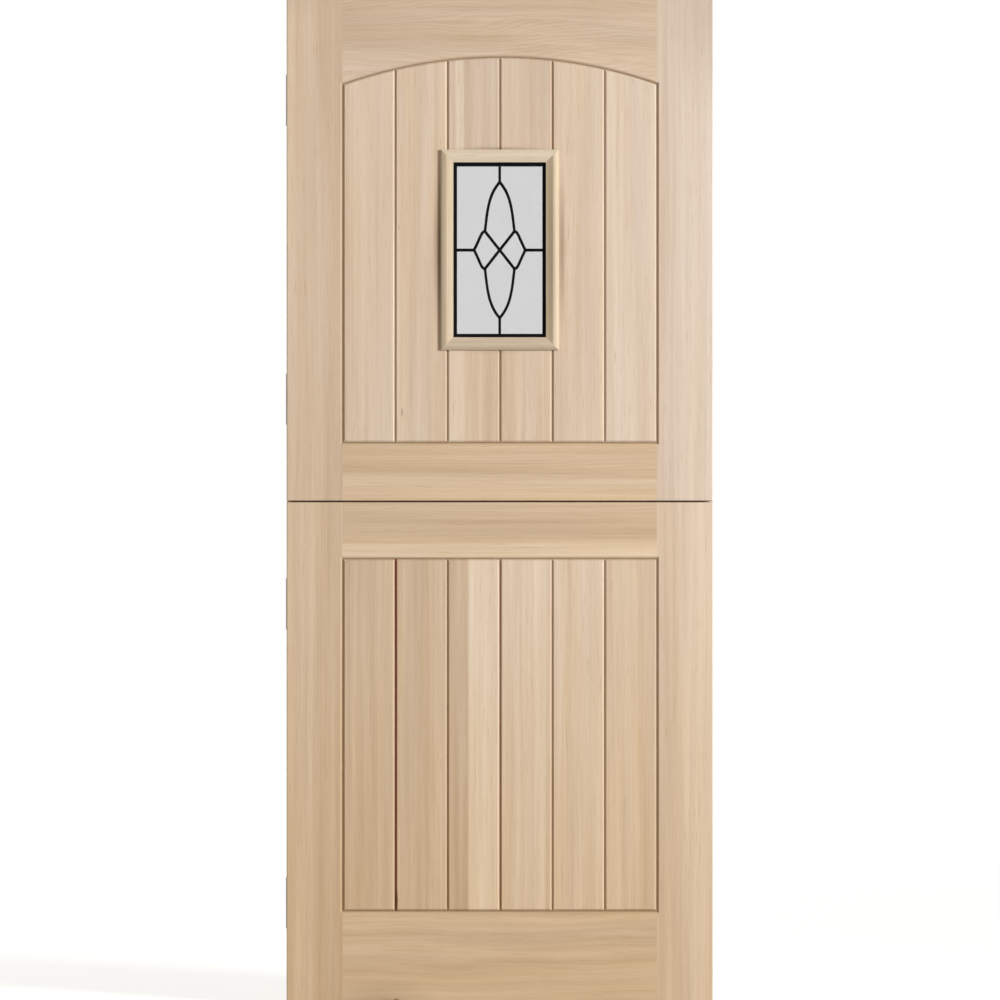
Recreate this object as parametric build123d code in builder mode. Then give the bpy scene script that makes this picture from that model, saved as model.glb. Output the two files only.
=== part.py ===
from build123d import *

import os
from math import sqrt

os.makedirs("parts", exist_ok=True)

# A stable door hung on the left and opening inwards, in millimetres. X runs across the door, Y from the
# outer face to the room, Z up. The origin is the middle of the closed door's bottom edge.

# Door
door_width = 838
door_height = 1981
door_thickness = 44
split_height = 990.5
meeting_gap = 3
meeting_step = 12
rebate_gap = 4
meeting_seal_height = 9
meeting_seal_clearance = 0.3
meeting_seal_inset = 8
arris = 1.5

# Frame timber
stile_width = 110
bottom_rail_height = 185
lower_meeting_rail_height = 111
upper_meeting_rail_height = 114
top_rail_height = 116.5
arch_rise = 53
tenon_length = 65
tenon_thickness = 14
tenon_shoulder = 22
mortise_clearance = 0.2
mortise_end_clearance = 1
inner_chamfer = 4

# Boards
board_count = 6
board_thickness = 28
frame_vee_depth = 4.2
board_vee_depth = 3.7
board_tongue_length = 8
board_tongue_thickness = 8
panel_tongue_length = 10
panel_tongue_thickness = 10
board_clearance = 0.3
groove_end_clearance = 2

# Leaded light, in the place of two boards half way up the upper panel, with a share of that panel's height
light_board_count = 2
sight_height_share = 0.4535
glass_cover = 10
glazing_clearance = 2
pane_thickness = 4
tape_thickness = 2
tape_width = 6
seal_depth = 3
spacer_depth = 6.5
packer_length = 50
packer_place_share = 0.5
moulding_width = 25
moulding_projection = 9.5
moulding_lip_height = 5
moulding_edge_height = 5
moulding_flat_width = 1
moulding_ridge_share = 0.56

# Lead came, with its pattern in shares of the sight opening's half width and half height
came_width = 5
came_border_width = 6.5
came_thickness = 1.2
came_clearance = 0.5
apex_share = 0.777
shoulder_shares = (0.318, 0.214)
side_corner_share = 0.556
petal_bend_shares = ((0.238, 0.635), (0.266, 0.463))
diamond_bend_shares = ((0.404, 0.212), (0.428, 0.123))

# Butt hinges, let into the door's edge
hinge_height = 100
hinge_inset = 200
hinge_gap = 2
flap_thickness = 2.5
flap_width = 30
flap_gap = 0.3
barrel_radius = 5
barrel_inset = 0.8
barrel_clearance = 1
knuckle_count = 5
knuckle_gap = 0.3
pin_radius = 2.5
pin_running_clearance = 0.05
pin_seat_clearance = 0.02
pin_tip_radius = 4
pin_tip_height = 3.5
pin_tip_chamfer = 1.2
recess_clearance = 0.2

# Hinge screws
screw_radius = 2
screw_length = 32
screw_point_length = 6
screw_head_radius = 3.7
screw_hole_radius = 2.2
screw_sink_radius = 3.9
screw_clearance = 0.1
screw_count = 4
screw_pitch = 26
outer_screw_edge = 9
inner_screw_edge = 20

# One overrun serves every cut
overrun = 20

# Planes and levels that follow
front = -door_thickness / 2
back = door_thickness / 2
left = -door_width / 2
right = door_width / 2
board_back = front + board_thickness
tongue_plane = front + board_thickness / 2
panel_half = door_width / 2 - stile_width
lower_top = split_height - meeting_gap / 2
upper_bottom = split_height + meeting_gap / 2
lower_panel_bottom = bottom_rail_height
lower_panel_top = lower_top - lower_meeting_rail_height
upper_panel_bottom = upper_bottom + upper_meeting_rail_height
arch_crown = door_height - top_rail_height
arch_radius = (panel_half**2 + arch_rise**2) / (2 * arch_rise)
arch_centre = arch_crown - arch_radius
arch_spring = arch_crown - arch_rise
board_pitch = 2 * panel_half / board_count
aperture_cover = glass_cover + glazing_clearance
aperture_width = light_board_count * board_pitch
sight_width = aperture_width - 2 * aperture_cover
sight_height = sight_height_share * (arch_crown - upper_panel_bottom)
window_centre_height = (arch_crown + upper_panel_bottom) / 2


def keep(piece, label):
    """Name a finished piece and write it."""
    piece.part.label = label
    export_step(piece.part, f"parts/{label}.step")


def face_at(depth):
    """The upright plane at a depth through the door, seen from outside."""
    return Plane.XZ.offset(-depth)


# Panel outlines


def lower_outline(depth, grow):
    """The lower leaf's panel: a rectangle, grown all round."""
    with BuildSketch(face_at(depth)) as outline:
        with Locations((0, (lower_panel_bottom + lower_panel_top) / 2)):
            Rectangle(2 * (panel_half + grow), lower_panel_top - lower_panel_bottom + 2 * grow)
    return outline.sketch


def upper_outline(depth, grow):
    """The upper leaf's panel: its head is an arc struck from one centre, whatever it is grown by."""
    half = panel_half + grow
    spring = arch_centre + sqrt((arch_radius + grow) ** 2 - half**2)
    bottom = upper_panel_bottom - grow
    with BuildSketch(face_at(depth)) as outline:
        with BuildLine():
            Polyline((-half, spring), (-half, bottom), (half, bottom), (half, spring))
            ThreePointArc((half, spring), (0, arch_crown + grow), (-half, spring))
        make_face()
    return outline.sketch


def panel_opening(outline):
    """What is taken from a leaf's frame for its panel: opening, groove, front vee and inner chamfer."""
    groove_thickness = panel_tongue_thickness + 2 * board_clearance
    groove_depth = panel_tongue_length + groove_end_clearance
    with BuildPart() as opening:
        extrude(outline(front, 0), amount=-door_thickness)
        extrude(outline(tongue_plane - groove_thickness / 2, groove_depth), amount=-groove_thickness)
        loft([outline(front, frame_vee_depth), outline(front + frame_vee_depth, 0)], ruled=True)
        loft([outline(back - inner_chamfer, 0), outline(back, inner_chamfer)], ruled=True)
    return opening.part


def panel_blank(outline):
    """The whole panel before it is divided into boards, with its edges tongued to fit the frame's groove."""
    with BuildPart() as blank:
        extrude(outline(front, -board_clearance), amount=-board_thickness)
        chamfer(blank.faces().sort_by(Axis.Y)[0].edges(), frame_vee_depth)
        chamfer(blank.faces().sort_by(Axis.Y)[-1].edges(), board_vee_depth)
        tongue = outline(tongue_plane - panel_tongue_thickness / 2, panel_tongue_length)
        extrude(tongue, amount=-panel_tongue_thickness)
    return blank.part


lower_opening = panel_opening(lower_outline)
upper_opening = panel_opening(upper_outline)
lower_blank = panel_blank(lower_outline)
upper_blank = panel_blank(upper_outline)


# Leaf sections, with the rebate where the leaves meet: the lower leaf's upstand stays outside


def lower_section(start, bottom):
    """Side view of a lower-leaf member that reaches the meeting edge."""
    with BuildSketch(Plane.YZ.offset(start)) as section:
        with BuildLine():
            Polyline(
                (front, bottom),
                (back, bottom),
                (back, lower_top - meeting_step),
                (-rebate_gap / 2, lower_top - meeting_step),
                (-rebate_gap / 2, lower_top),
                (front, lower_top),
                close=True,
            )
        make_face()
    return section.sketch


def upper_section(start, top):
    """Side view of an upper-leaf member that reaches the meeting edge."""
    with BuildSketch(Plane.YZ.offset(start)) as section:
        with BuildLine():
            Polyline(
                (front, upper_bottom),
                (rebate_gap / 2, upper_bottom),
                (rebate_gap / 2, upper_bottom - meeting_step),
                (back, upper_bottom - meeting_step),
                (back, top),
                (front, top),
                close=True,
            )
        make_face()
    return section.sketch


# Hinge axis, flap faces, screw places and levels

axis_x = left + barrel_inset + barrel_radius
axis_y = back + barrel_radius + barrel_clearance
frame_flap_start = left - hinge_gap
door_flap_start = frame_flap_start + flap_thickness + flap_gap
knuckle_length = (hinge_height - (knuckle_count - 1) * knuckle_gap) / knuckle_count
hinges = {
    "lower_leaf_bottom_hinge": hinge_inset,
    "lower_leaf_top_hinge": lower_top - hinge_inset,
    "upper_leaf_bottom_hinge": upper_bottom + hinge_inset,
    "upper_leaf_top_hinge": door_height - hinge_inset,
}
frame_side = 1
door_side = -1


def screw_places(side):
    """Depths and heights of a flap's zigzag screws: one flap is the other turned over, so no holes meet."""
    flap_edge = back - flap_width
    edges = (outer_screw_edge, inner_screw_edge)
    middle = (screw_count - 1) / 2
    return [(flap_edge + edges[i % 2], side * (i - middle) * screw_pitch) for i in range(screw_count)]


def leaf_hinges(leaf):
    """Levels of the hinges that carry one leaf."""
    return [level for name, level in hinges.items() if name.startswith(leaf)]


# Stiles and rails of both leaves

top_rail_tenon = (arch_spring + tenon_shoulder, door_height - tenon_shoulder)
leaves = {
    "lower": {
        "opening": lower_opening,
        "section": lambda start: lower_section(start, 0),
        "tenons": {
            "bottom_rail": (tenon_shoulder, bottom_rail_height - tenon_shoulder),
            "meeting_rail": (lower_panel_top + tenon_shoulder, lower_top - meeting_step - tenon_shoulder),
        },
    },
    "upper": {
        "opening": upper_opening,
        "section": lambda start: upper_section(start, door_height),
        "tenons": {
            "arched_rail": top_rail_tenon,
            "meeting_rail": (upper_bottom + tenon_shoulder, upper_panel_bottom - tenon_shoulder),
        },
    },
}

for leaf, build in leaves.items():
    for side, name in ((-1, "hinge_stile"), (1, "closing_stile")):
        start = left if side < 0 else right - stile_width
        with BuildPart() as stile:
            extrude(build["section"](start), amount=stile_width)
            outer = stile.edges().filter_by(Axis.Z).group_by(Axis.X)[0 if side < 0 else -1].sort_by(Axis.Y)
            ends = stile.edges().filter_by(Axis.X).group_by(Axis.Y)
            chamfer([outer[0], outer[-1]] + ends[0] + ends[-1], arris)
            add(build["opening"], mode=Mode.SUBTRACT)
            for low, high in build["tenons"].values():
                reach = tenon_length + mortise_end_clearance
                with Locations((side * (panel_half + reach / 2), tongue_plane, (low + high) / 2)):
                    Box(
                        reach,
                        tenon_thickness + 2 * mortise_clearance,
                        high - low + 2 * mortise_clearance,
                        mode=Mode.SUBTRACT,
                    )
            if side < 0:
                recess_depth = door_flap_start + flap_thickness + recess_clearance / 2 - left
                recess_width = flap_width + recess_clearance
                for level in leaf_hinges(leaf):
                    with Locations((left + recess_depth / 2, back - recess_width / 2, level)):
                        Box(
                            recess_depth,
                            recess_width,
                            hinge_height + 2 * recess_clearance,
                            mode=Mode.SUBTRACT,
                        )
                    pilot_x = door_flap_start + screw_length / 2
                    with Locations(*[(pilot_x, y, level + z) for y, z in screw_places(door_side)]):
                        Cylinder(
                            screw_radius + screw_clearance,
                            screw_length + 2 * screw_clearance,
                            rotation=(0, 90, 0),
                            mode=Mode.SUBTRACT,
                        )
        keep(stile, f"{leaf}_{name}")


def add_tenons(low, high):
    """Tenons on both ends of the rail being built."""
    middle = panel_half + tenon_length / 2
    with Locations(*[(side * middle, tongue_plane, (low + high) / 2) for side in (-1, 1)]):
        Box(tenon_length, tenon_thickness, high - low)


rail_length = 2 * panel_half

with BuildPart() as bottom_rail:
    with Locations((0, 0, bottom_rail_height / 2)):
        Box(rail_length, door_thickness, bottom_rail_height)
    chamfer(bottom_rail.edges().filter_by(Axis.X).group_by(Axis.Z)[0], arris)
    add(lower_opening, mode=Mode.SUBTRACT)
    add_tenons(*leaves["lower"]["tenons"]["bottom_rail"])
keep(bottom_rail, "lower_bottom_rail")

with BuildPart() as lower_meeting_rail:
    extrude(lower_section(-panel_half, lower_panel_top), amount=rail_length)
    along = lower_meeting_rail.edges().filter_by(Axis.X).group_by(Axis.Y)
    chamfer([along[0].sort_by(Axis.Z)[-1], along[-1].sort_by(Axis.Z)[-1]], arris)
    add(lower_opening, mode=Mode.SUBTRACT)
    add_tenons(*leaves["lower"]["tenons"]["meeting_rail"])
keep(lower_meeting_rail, "lower_meeting_rail")

with BuildPart() as upper_meeting_rail:
    extrude(upper_section(-panel_half, upper_panel_bottom), amount=rail_length)
    along = upper_meeting_rail.edges().filter_by(Axis.X).group_by(Axis.Y)
    chamfer([along[0].sort_by(Axis.Z)[0], along[-1].sort_by(Axis.Z)[0]], arris)
    add(upper_opening, mode=Mode.SUBTRACT)
    add_tenons(*leaves["upper"]["tenons"]["meeting_rail"])
keep(upper_meeting_rail, "upper_meeting_rail")

# A D-section draught seal on the upstand's inner face, which the upper leaf's lip closes against
with BuildPart() as meeting_seal:
    seal_level = lower_top - meeting_step / 2
    seal_thickness = rebate_gap - meeting_seal_clearance
    with BuildSketch(Plane.YZ.offset(left + meeting_seal_inset)):
        with BuildLine():
            seal_foot = (-rebate_gap / 2, seal_level - meeting_seal_height / 2)
            seal_head = (-rebate_gap / 2, seal_level + meeting_seal_height / 2)
            Line(seal_foot, seal_head)
            ThreePointArc(seal_head, (seal_thickness - rebate_gap / 2, seal_level), seal_foot)
        make_face()
    extrude(amount=door_width - 2 * meeting_seal_inset)
keep(meeting_seal, "lower_meeting_seal")

# The arched rail is cut from one wide plank, and its underside and groove follow the arch
with BuildPart() as arched_rail:
    with Locations((0, 0, (arch_spring + door_height) / 2)):
        Box(rail_length, door_thickness, door_height - arch_spring)
    chamfer(arched_rail.edges().filter_by(Axis.X).group_by(Axis.Z)[-1], arris)
    add(upper_opening, mode=Mode.SUBTRACT)
    add_tenons(*leaves["upper"]["tenons"]["arched_rail"])
keep(arched_rail, "upper_arched_rail")


# Tongued, grooved and V-jointed boards


def board_section(index, level):
    """A board's section at a level: tongue on the right, groove on the left, vees on both faces."""
    first = index == 0
    last = index == board_count - 1
    low = -panel_half + index * board_pitch + board_clearance / 2
    high = low + board_pitch - board_clearance
    body_low = low - overrun if first else low
    body_high = high + overrun if last else high
    groove_depth = board_tongue_length + board_clearance
    with BuildSketch(Plane.XY.offset(level)) as section:
        with Locations(((body_low + body_high) / 2, tongue_plane)):
            Rectangle(body_high - body_low, board_thickness)
        corners = section.vertices().group_by(Axis.X)
        if not first:
            chamfer(corners[0], board_vee_depth)
        if not last:
            chamfer(corners[-1], board_vee_depth)
            with Locations((high + board_tongue_length / 2, tongue_plane)):
                Rectangle(board_tongue_length, board_tongue_thickness)
        if not first:
            with Locations((low + groove_depth / 2, tongue_plane)):
                Rectangle(groove_depth, board_tongue_thickness + 2 * board_clearance, mode=Mode.SUBTRACT)
    return section.sketch


for index in range(board_count):
    with BuildPart() as board:
        level = lower_panel_bottom - overrun
        extrude(board_section(index, level), amount=lower_panel_top + overrun - level)
        add(lower_blank, mode=Mode.INTERSECT)
    keep(board, f"lower_board_{index + 1}")

# The boards that meet the window are in two lengths, above and below it, and its neighbours are trimmed to it
aperture_height = sight_height + 2 * aperture_cover
aperture_top = window_centre_height + aperture_height / 2
aperture_bottom = window_centre_height - aperture_height / 2

for index in range(board_count):
    with BuildPart() as board:
        level = upper_panel_bottom - overrun
        extrude(board_section(index, level), amount=arch_crown + overrun - level)
        add(upper_blank, mode=Mode.INTERSECT)
    board_centre = -panel_half + (index + 0.5) * board_pitch
    if abs(board_centre) > aperture_width / 2:
        with BuildPart() as trimmed:
            add(board.part)
            with Locations((0, tongue_plane, window_centre_height)):
                Box(aperture_width, board_thickness, aperture_height, mode=Mode.SUBTRACT)
        keep(trimmed, f"upper_board_{index + 1}")
    else:
        with BuildPart() as above:
            add(board.part)
            split(bisect_by=Plane.XY.offset(aperture_top), keep=Keep.TOP)
        keep(above, f"upper_board_{index + 1}_above")
        with BuildPart() as below:
            add(board.part)
            split(bisect_by=Plane.XY.offset(aperture_bottom), keep=Keep.BOTTOM)
        keep(below, f"upper_board_{index + 1}_below")


# Sealed unit, tapes and packers

glass_front = front + tape_thickness
glass_back = board_back - tape_thickness
cavity_front = glass_front + pane_thickness
cavity_back = glass_back - pane_thickness


def sight_plane(depth):
    """The upright plane at a depth, centred on the window."""
    return Plane(origin=(0, depth, window_centre_height), x_dir=(1, 0, 0), z_dir=(0, -1, 0))


def glazing_ring(start, end, outer_cover, inner_cover):
    """A rectangular ring in the glazing, by how far its edges lie outside the sight opening."""
    with BuildPart() as ring:
        with BuildSketch(sight_plane(start)):
            Rectangle(sight_width + 2 * outer_cover, sight_height + 2 * outer_cover)
            Rectangle(sight_width + 2 * inner_cover, sight_height + 2 * inner_cover, mode=Mode.SUBTRACT)
        extrude(amount=start - end)
    return ring


for name, start in (("window_outer_pane", glass_front), ("window_inner_pane", cavity_back)):
    with BuildPart() as pane:
        with BuildSketch(sight_plane(start)):
            Rectangle(sight_width + 2 * glass_cover, sight_height + 2 * glass_cover)
        extrude(amount=-pane_thickness)
    keep(pane, name)

tape_cover = glass_cover - tape_width
spacer_cover = glass_cover - seal_depth
keep(glazing_ring(front, glass_front, glass_cover, tape_cover), "window_outer_tape")
keep(glazing_ring(glass_back, board_back, glass_cover, tape_cover), "window_inner_tape")
keep(glazing_ring(cavity_front, cavity_back, glass_cover, spacer_cover), "window_edge_seal")
keep(
    glazing_ring(cavity_front, cavity_back, spacer_cover, spacer_cover - spacer_depth),
    "window_spacer_bar",
)

with BuildPart() as packers:
    packer_x = packer_place_share * sight_width / 2
    packer_z = window_centre_height - sight_height / 2 - glass_cover - glazing_clearance / 2
    with Locations(*[(side * packer_x, tongue_plane, packer_z) for side in (-1, 1)]):
        Box(packer_length, glass_back - glass_front, glazing_clearance)
keep(packers, "window_packers")


# Lead came: a border and strips that form two pointed petals and a diamond


def came(depth, thickness):
    """One face's came, on the glass at a depth and as thick as given, towards the viewer where positive."""
    half_width = sight_width / 2
    half_height = sight_height / 2
    border_cover = glass_cover - tape_width - came_clearance

    def at(shares, across=1, up=1):
        return (across * shares[0] * half_width, up * shares[1] * half_height)

    apex = (0, apex_share)
    side_corner = (side_corner_share, 0)
    with BuildPart() as strips:
        with BuildSketch(sight_plane(depth)):
            Rectangle(sight_width + 2 * border_cover, sight_height + 2 * border_cover)
            Rectangle(
                sight_width - 2 * came_border_width,
                sight_height - 2 * came_border_width,
                mode=Mode.SUBTRACT,
            )
            for sign in (-1, 1):
                with BuildLine():
                    Line(at(shoulder_shares, -1, -sign), at(shoulder_shares, 1, sign))
                trace(line_width=came_width)
                with BuildLine():
                    Line(at(apex, 1, sign), (0, sign * half_height))
                trace(line_width=came_width)
                with BuildLine():
                    Line(at(side_corner, sign), (sign * half_width, 0))
                trace(line_width=came_width)
                for across in (-1, 1):
                    with BuildLine():
                        bends = [at(bend, across, sign) for bend in petal_bend_shares]
                        Bezier(at(apex, across, sign), *bends, at(shoulder_shares, across, sign))
                    trace(line_width=came_width)
                    with BuildLine():
                        bends = [at(bend, across, sign) for bend in diamond_bend_shares]
                        Bezier(at(shoulder_shares, across, sign), *bends, at(side_corner, across, sign))
                    trace(line_width=came_width)
            # Each joint is soldered over, which rounds off the strips' ends
            joints = [at(shoulder_shares, across, up) for across in (-1, 1) for up in (-1, 1)]
            joints += [at(apex, 1, up) for up in (-1, 1)]
            joints += [at(side_corner, across) for across in (-1, 1)]
            with Locations(*joints):
                Circle(came_width / 2)
        extrude(amount=thickness)
    return strips


keep(came(glass_front, came_thickness), "window_outer_came")
keep(came(glass_back, -came_thickness), "window_inner_came")


# Mitred mouldings outside and beads inside


def moulding(face, turn, half_run, half_opening):
    """One length of moulding on a face, turned a quarter at a time and mitred at both ends."""
    seat = Plane(face.location * Rotation(0, 0, turn))
    ridge = moulding_ridge_share * moulding_width
    flat_start = ridge - moulding_flat_width / 2
    flat_end = ridge + moulding_flat_width / 2
    section_plane = Plane(
        origin=seat.from_local_coords((0, half_opening, 0)), x_dir=seat.y_dir, z_dir=seat.x_dir
    )
    with BuildPart() as length:
        with BuildSketch(section_plane):
            with BuildLine():
                Polyline(
                    (moulding_width, moulding_edge_height),
                    (moulding_width, 0),
                    (0, 0),
                    (0, moulding_lip_height),
                    (flat_start, moulding_projection),
                    (flat_end, moulding_projection),
                )
                TangentArc(
                    (flat_end, moulding_projection),
                    (moulding_width, moulding_edge_height),
                    tangent=(1, 0),
                )
            make_face()
        extrude(amount=half_run + moulding_width, both=True)
        for end in (-1, 1):
            mitre = Plane(
                origin=seat.from_local_coords((end * half_run, half_opening, 0)),
                z_dir=seat.x_dir * end - seat.y_dir,
            )
            split(bisect_by=mitre, keep=Keep.BOTTOM)
    return length


outer_seat = sight_plane(front)
inner_seat = Plane(origin=(0, board_back, window_centre_height), x_dir=(-1, 0, 0), z_dir=(0, 1, 0))
quarter = 90
sides = (
    ("top", 0, sight_width / 2, sight_height / 2),
    ("bottom", 2 * quarter, sight_width / 2, sight_height / 2),
    ("left", quarter, sight_height / 2, sight_width / 2),
    ("right", 3 * quarter, sight_height / 2, sight_width / 2),
)
opposite = {"top": "top", "bottom": "bottom", "left": "right", "right": "left"}
for place, turn, half_run, half_opening in sides:
    keep(moulding(outer_seat, turn, half_run, half_opening), f"window_moulding_{place}")
    keep(moulding(inner_seat, turn, half_run, half_opening), f"window_bead_{opposite[place]}")


# Butt hinges: knuckles of the two flaps take turns along the pin


def flap(level, plate_start, shown_side, first_knuckle, bore_radius):
    """One flap, with its screw holes sunk from the side that shows when the hinge is open."""
    barrel_start = axis_x - barrel_radius
    with BuildPart() as plate:
        with Locations((plate_start + flap_thickness / 2, back - flap_width / 2, level)):
            Box(flap_thickness, flap_width, hinge_height)
        for knuckle in range(first_knuckle, knuckle_count, 2):
            start = level - hinge_height / 2 + knuckle * (knuckle_length + knuckle_gap)
            with BuildSketch(Plane.XY.offset(start)):
                with BuildLine():
                    Polyline(
                        (plate_start, back),
                        (plate_start + flap_thickness, back),
                        (barrel_start + flap_thickness, axis_y),
                        (barrel_start, axis_y),
                        close=True,
                    )
                make_face()
                with Locations((axis_x, axis_y)):
                    Circle(barrel_radius)
                    Circle(bore_radius, mode=Mode.SUBTRACT)
            extrude(amount=knuckle_length)
        shown_face = plate_start + (flap_thickness if shown_side > 0 else 0)
        places = screw_places(shown_side)
        holes = [Plane(origin=(shown_face, y, level + z), z_dir=(shown_side, 0, 0)) for y, z in places]
        with Locations(*[hole.location for hole in holes]):
            CounterSinkHole(screw_hole_radius, screw_sink_radius, flap_thickness, counter_sink_angle=90)
    return plate


for name, level in hinges.items():
    frame_flap = flap(level, frame_flap_start, frame_side, 0, pin_radius + pin_seat_clearance)
    keep(frame_flap, f"{name}_frame_flap")
    door_flap = flap(level, door_flap_start, door_side, 1, pin_radius + pin_running_clearance)
    keep(door_flap, f"{name}_door_flap")
    with BuildPart() as pin:
        with Locations((axis_x, axis_y, level)):
            Cylinder(pin_radius, hinge_height)
        for end in (-1, 1):
            with Locations((axis_x, axis_y, level + end * (hinge_height + pin_tip_height) / 2)):
                Cylinder(pin_tip_radius, pin_tip_height)
        tips = pin.edges().filter_by(GeomType.CIRCLE).group_by(Axis.Z)
        chamfer(tips[0] + tips[-1], pin_tip_chamfer)
    keep(pin, f"{name}_pin")

# Countersunk screws of the door flaps, driven into the hinge stiles
with BuildPart() as screw:
    with BuildSketch(Plane.XY):
        with BuildLine():
            Polyline(
                (screw_clearance, 0),
                (screw_clearance, screw_head_radius),
                (screw_clearance + screw_head_radius - screw_radius, screw_radius),
                (screw_length - screw_point_length, screw_radius),
                (screw_length, 0),
                close=True,
            )
        make_face()
    revolve(axis=Axis.X)

for leaf in leaves:
    with BuildPart() as screws:
        for level in leaf_hinges(leaf):
            with Locations(*[(door_flap_start, y, level + z) for y, z in screw_places(door_side)]):
                add(screw.part)
    keep(screws, f"{leaf}_hinge_screws")
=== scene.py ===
from math import cos, pi, radians, sin, sqrt

import bmesh
import bpy
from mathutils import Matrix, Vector


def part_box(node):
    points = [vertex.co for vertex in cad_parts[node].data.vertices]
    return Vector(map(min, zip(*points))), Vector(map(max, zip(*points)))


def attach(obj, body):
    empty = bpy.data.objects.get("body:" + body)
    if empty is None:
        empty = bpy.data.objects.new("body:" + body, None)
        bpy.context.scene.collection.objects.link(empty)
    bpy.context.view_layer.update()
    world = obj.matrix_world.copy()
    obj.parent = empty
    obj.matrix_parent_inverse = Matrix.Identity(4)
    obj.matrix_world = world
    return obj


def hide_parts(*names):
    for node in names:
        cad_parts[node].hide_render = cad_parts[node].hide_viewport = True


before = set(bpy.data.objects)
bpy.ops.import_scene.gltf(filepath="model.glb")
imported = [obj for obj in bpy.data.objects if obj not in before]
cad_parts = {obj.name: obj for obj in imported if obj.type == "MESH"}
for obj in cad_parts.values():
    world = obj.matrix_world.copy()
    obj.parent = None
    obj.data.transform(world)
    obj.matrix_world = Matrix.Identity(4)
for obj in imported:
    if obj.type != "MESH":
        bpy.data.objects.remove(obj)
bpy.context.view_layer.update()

# Stiles and rails: the frame of each leaf, planed from pale straight-grained timber and left bare. The rails
# are tenoned into the stiles, so the grain runs up the stiles and across the rails, and the arched rail is
# sawn from one wide plank. The inner arrises are chamfered, which makes half of the V round each panel.


def feed(tree, socket, value):
    """Wire an output to a socket, or set the socket to a value, with a colour written as three numbers."""
    if isinstance(value, bpy.types.NodeSocket):
        tree.links.new(value, socket)
    elif socket.type == "RGBA":
        socket.default_value = (*value, 1)
    else:
        socket.default_value = value


def add_node(tree, kind, inputs=None, **settings):
    """A shader or geometry node, with its settings made and its inputs fed by name or number."""
    made = tree.nodes.new(kind)
    for setting, value in settings.items():
        setattr(made, setting, value)
    for socket, value in (inputs or {}).items():
        feed(tree, made.inputs[socket], value)
    return made


def calculate(tree, operation, *values, clamp=False):
    """The result of a Math node on numbers or outputs."""
    inputs = dict(enumerate(values))
    return add_node(tree, "ShaderNodeMath", inputs, operation=operation, use_clamp=clamp).outputs[0]


def calculate_vector(tree, operation, *values):
    """The result of a Vector Math node on vectors or outputs."""
    return add_node(tree, "ShaderNodeVectorMath", dict(enumerate(values)), operation=operation).outputs[0]


def length_of(tree, vector):
    """The length of a vector."""
    return add_node(tree, "ShaderNodeVectorMath", {0: vector}, operation="LENGTH").outputs["Value"]


def ease(tree, value, start, end):
    """A smooth climb from 0 to 1 as a value passes from start to end."""
    inputs = {"Value": value, "From Min": start, "From Max": end}
    return add_node(tree, "ShaderNodeMapRange", inputs, interpolation_type="SMOOTHSTEP").outputs[0]


def noise(tree, position, per_metre, detail, roughness=0.5):
    """The outputs of a noise whose blotches are counted per metre along X, Y and Z."""
    stretched = calculate_vector(tree, "MULTIPLY", position, per_metre)
    inputs = {"Vector": stretched, "Scale": 1, "Detail": detail, "Roughness": roughness}
    return add_node(tree, "ShaderNodeTexNoise", inputs).outputs


def blend(tree, factor, first, second, blend_type="MIX"):
    """Two colours mixed by a factor."""
    mix = add_node(tree, "ShaderNodeMix", data_type="RGBA", blend_type=blend_type)
    sockets = [socket for socket in mix.inputs if socket.enabled]
    for socket, value in zip(sockets, (factor, first, second)):
        feed(tree, socket, value)
    return next(socket for socket in mix.outputs if socket.enabled)


def shades(tree, value, *stops, interpolation="LINEAR"):
    """A colour that follows a value through stops, each a place from 0 to 1 and a colour."""
    ramp = add_node(tree, "ShaderNodeValToRGB", {"Fac": value})
    ramp.color_ramp.interpolation = interpolation
    first, *between, last = stops
    for element, (place, colour) in zip(ramp.color_ramp.elements, (first, last)):
        element.position = place
        element.color = (*colour, 1)
    for place, colour in between:
        ramp.color_ramp.elements.new(place).color = (*colour, 1)
    return ramp.outputs["Color"]


def relief(tree, height, strength, depth):
    """The tilt of a surface that rises and falls with a pattern."""
    inputs = {"Height": height, "Strength": strength, "Distance": depth}
    return add_node(tree, "ShaderNodeBump", inputs).outputs[0]


def start_finish(name):
    """A new material, its node tree, and the place on the piece that its pattern follows."""
    material = bpy.data.materials.new(name)
    material.use_nodes = True
    tree = material.node_tree
    return material, tree, add_node(tree, "ShaderNodeTexCoord").outputs["Object"]


def set_surface(tree, inputs):
    """Set or wire a material's own shader by the names of its sockets."""
    shader = tree.nodes["Principled BSDF"]
    for socket, value in inputs.items():
        feed(tree, shader.inputs[socket], value)


def dress(material, *pieces):
    """Give CAD pieces their finish."""
    for piece in pieces:
        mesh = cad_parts[piece].data
        mesh.materials.clear()
        mesh.materials.append(material)


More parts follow.
